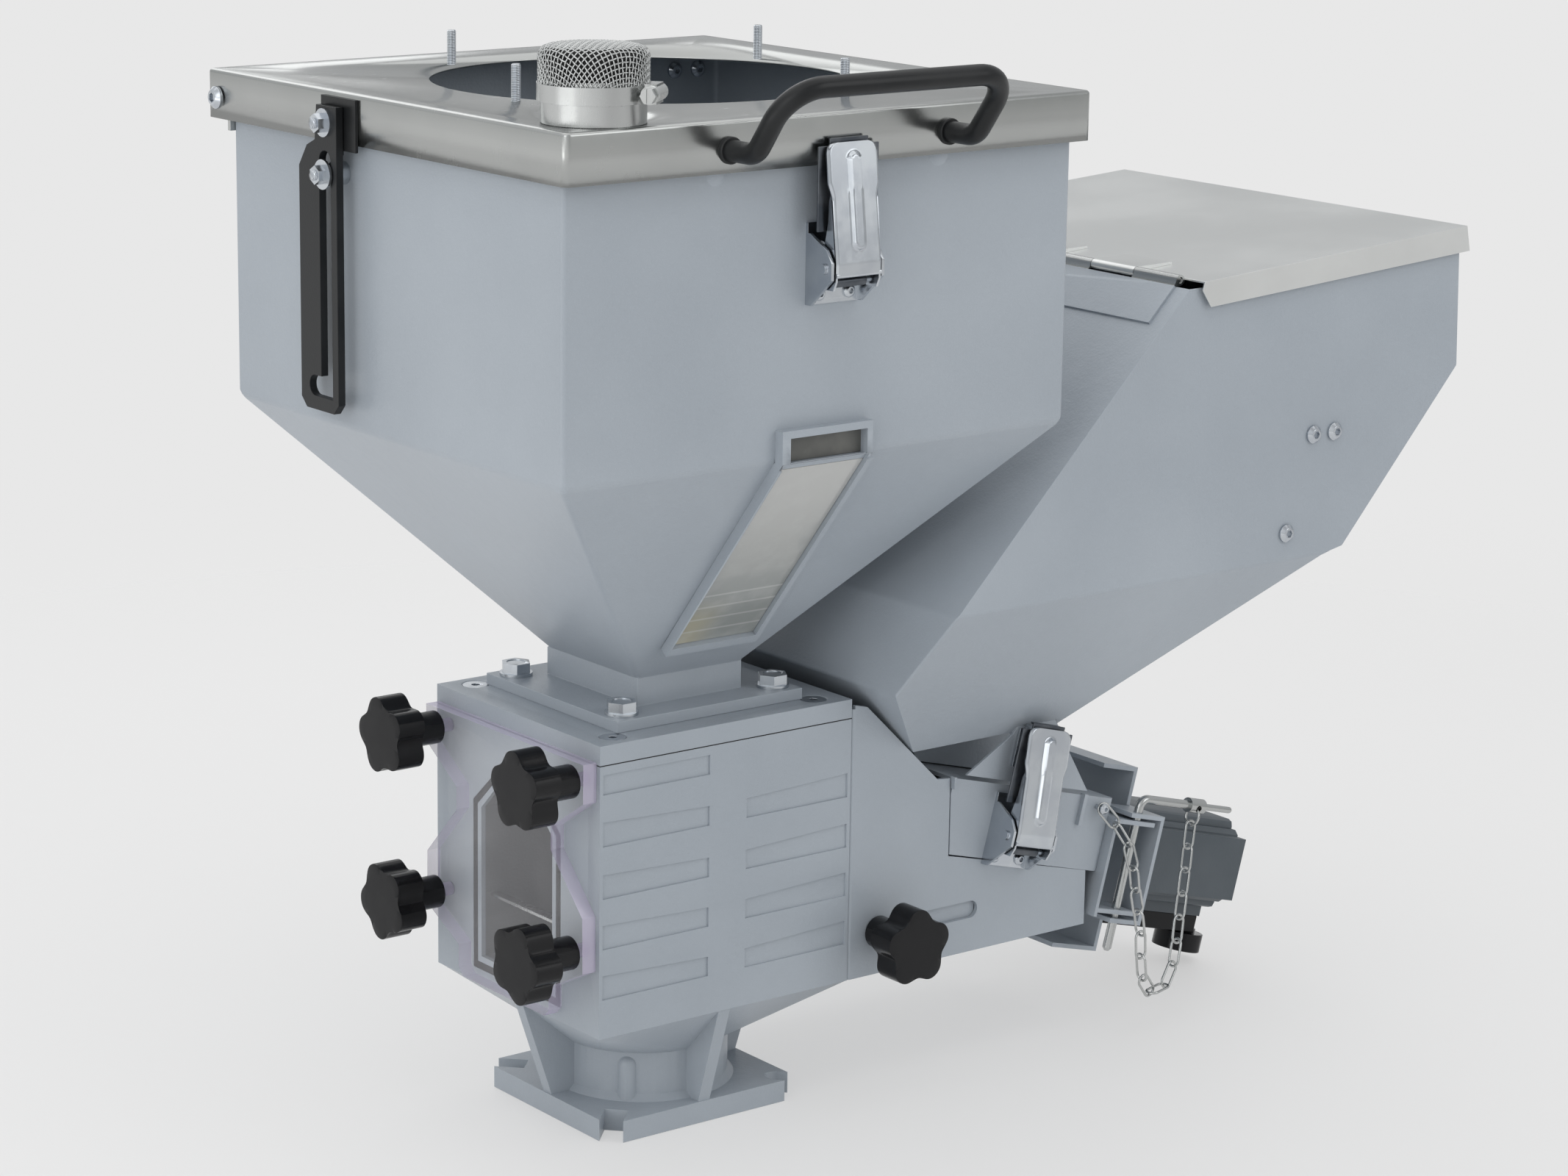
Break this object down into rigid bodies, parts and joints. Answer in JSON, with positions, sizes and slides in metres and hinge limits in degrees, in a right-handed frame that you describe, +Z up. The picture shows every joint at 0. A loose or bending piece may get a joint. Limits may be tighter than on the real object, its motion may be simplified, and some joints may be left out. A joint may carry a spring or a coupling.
{
  "type": "granule dosing and mixing unit",
  "caption": "Mixing block with a clear front cover under a lidded hopper with a lift-up grip; an inclined screw feeder with its own small hopper, motor, toggle latch and chained lock pin.",
  "frame": {"origin": "outlet axis at the underside of the base plate", "axes": "+Z up; -Y is the side with the lid handle and latches; -X is the clear cover; the feeder hangs on +X"},
  "size_m": [0.7595, 0.4467, 0.692],
  "materials": {
    "grey_paint": "fine textured powder coat",
    "polished_stainless": "bright rolled stainless sheet",
    "brushed_stainless": "brushed stainless",
    "zinc_plate": "bright zinc plate",
    "black_steel": "satin black coat",
    "black_plastic": "moulded, satin",
    "black_rubber": "matt",
    "clear_acrylic": "clear cast sheet",
    "sight_glass": "clear",
    "motor_grey": "dark grey paint on cast aluminium",
    "bearing_bronze": "plain bearing bronze",
    "coupling_metal": "turned"
  },
  "bodies": {
    "stand": {"mixer_housing": "grey_paint", "top_plate": "grey_paint", "top_plate_screws": "zinc_plate", "chamber_guide": "brushed_stainless", "cover_gasket": "black_rubber", "main_hopper": "grey_paint", "hopper_bolts": "zinc_plate", "window_frame": "grey_paint", "window_glass": "sight_glass", "hinge_ears": "brushed_stainless", "ear_screws": "zinc_plate", "lid_pivots": "zinc_plate", "stay_guide_bolt": "zinc_plate", "lid_latch_base": "zinc_plate", "feeder_latch_base": "zinc_plate", "feeder_console": "grey_paint", "console_screws": "zinc_plate", "feeder_housing": "grey_paint", "feed_tube": "brushed_stainless", "feed_bearing": "bearing_bronze", "side_hopper": "grey_paint", "side_hopper_screws": "zinc_plate", "latch_keeper": "zinc_plate", "side_hinge_leaf": "brushed_stainless", "motor_bracket": "grey_paint", "motor_screws": "zinc_plate", "motor": "motor_grey", "motor_terminal": "black_plastic", "chain_screw": "zinc_plate", "chain": "brushed_stainless"},
    "cover": {"clear_cover": "clear_acrylic"},
    "knob_back_high": {"knob_back_high": "black_plastic"},
    "knob_front_high": {"knob_front_high": "black_plastic"},
    "knob_back_low": {"knob_back_low": "black_plastic"},
    "knob_front_low": {"knob_front_low": "black_plastic"},
    "lid": {"hopper_lid": "polished_stainless", "lid_studs": "zinc_plate", "vent_spigot": "brushed_stainless", "vent_cap": "brushed_stainless", "vent_clamp": "brushed_stainless", "lid_handle": "black_steel", "handle_screws": "zinc_plate", "stay_bracket": "black_steel", "stay_bolts": "zinc_plate"},
    "stay": {"lid_stay": "black_steel"},
    "lid_lever": {"lid_latch_lever": "zinc_plate"},
    "lid_claw": {"lid_latch_claw": "zinc_plate"},
    "feeder_lever": {"feeder_latch_lever": "zinc_plate"},
    "feeder_claw": {"feeder_latch_claw": "zinc_plate"},
    "clamp": {"clamp_slide": "brushed_stainless"},
    "console_knob": {"console_knob": "black_plastic"},
    "screw": {"feed_screw": "brushed_stainless", "shaft_coupling": "coupling_metal"},
    "side_lid": {"side_lid": "brushed_stainless", "side_lid_leaf": "brushed_stainless"},
    "pin": {"lock_pin": "brushed_stainless", "pin_ring": "brushed_stainless"}
  },
  "joints": [
    {"name": "lid_hinge", "type": "hinge", "parent": "stand", "child": "lid", "pos_m": [0, 0.186, 0.632], "axis": [-1, 0, 0], "range_deg": [0, 57]},
    {"name": "stay_pivot", "type": "hinge", "parent": "lid", "child": "stay", "pos_m": [-0.197, 0.049, 0.631], "axis": [-1, 0, 0], "range_deg": [-35, 0]},
    {"name": "lid_lever_pivot", "type": "hinge", "parent": "stand", "child": "lid_lever", "pos_m": [0.0035, -0.194, 0.56], "axis": [1, 0, 0], "range_deg": [0, 95]},
    {"name": "lid_claw_pivot", "type": "hinge", "parent": "lid_lever", "child": "lid_claw", "pos_m": [0.0035, -0.191, 0.551], "axis": [1, 0, 0], "range_deg": [-77, 0]},
    {"name": "feeder_lever_pivot", "type": "hinge", "parent": "stand", "child": "feeder_lever", "pos_m": [0.23097, -0.106, 0.15538], "axis": [0.9659, 0, -0.2588], "range_deg": [0, 95]},
    {"name": "feeder_claw_pivot", "type": "hinge", "parent": "feeder_lever", "child": "feeder_claw", "pos_m": [0.22864, -0.103, 0.14669], "axis": [0.9659, 0, -0.2588], "range_deg": [-77, 0]},
    {"name": "side_lid_hinge", "type": "hinge", "parent": "stand", "child": "side_lid", "pos_m": [0.306, 0, 0.519], "axis": [0, -1, 0], "range_deg": [0, 110]},
    {"name": "cover_slide", "type": "slide", "parent": "stand", "child": "cover", "axis": [-1, 0, 0], "range_m": [0, 0.09]},
    {"name": "knob_back_high_turn", "type": "hinge", "parent": "cover", "child": "knob_back_high", "pos_m": [-0.12, 0.074, 0.242], "axis": [-1, 0, 0], "continuous": true},
    {"name": "knob_front_high_turn", "type": "hinge", "parent": "cover", "child": "knob_front_high", "pos_m": [-0.12, -0.074, 0.242], "axis": [-1, 0, 0], "continuous": true},
    {"name": "knob_back_low_turn", "type": "hinge", "parent": "cover", "child": "knob_back_low", "pos_m": [-0.12, 0.074, 0.134], "axis": [-1, 0, 0], "continuous": true},
    {"name": "knob_front_low_turn", "type": "hinge", "parent": "cover", "child": "knob_front_low", "pos_m": [-0.12, -0.074, 0.134], "axis": [-1, 0, 0], "continuous": true},
    {"name": "clamp_travel", "type": "slide", "parent": "stand", "child": "clamp", "axis": [1, 0, 0], "range_m": [0, 0.078]},
    {"name": "console_knob_turn", "type": "hinge", "parent": "clamp", "child": "console_knob", "pos_m": [0.1205, -0.1, 0.1085], "axis": [0, -1, 0], "continuous": true},
    {"name": "screw_turn", "type": "hinge", "parent": "stand", "child": "screw", "pos_m": [0.19956, 0, 0.14827], "axis": [0.9659, 0, -0.2588], "continuous": true},
    {"name": "pin_pull", "type": "slide", "parent": "stand", "child": "pin", "axis": [0.2588, 0, 0.9659], "range_m": [0, 0.1], "deforming": ["chain"]}
  ],
  "couplings": [
    {"joint": "stay_pivot", "follows": "lid_hinge", "ratio": -0.6},
    {"joint": "lid_claw_pivot", "follows": "lid_lever_pivot", "ratio": -0.8},
    {"joint": "feeder_claw_pivot", "follows": "feeder_lever_pivot", "ratio": -0.8}
  ]
}
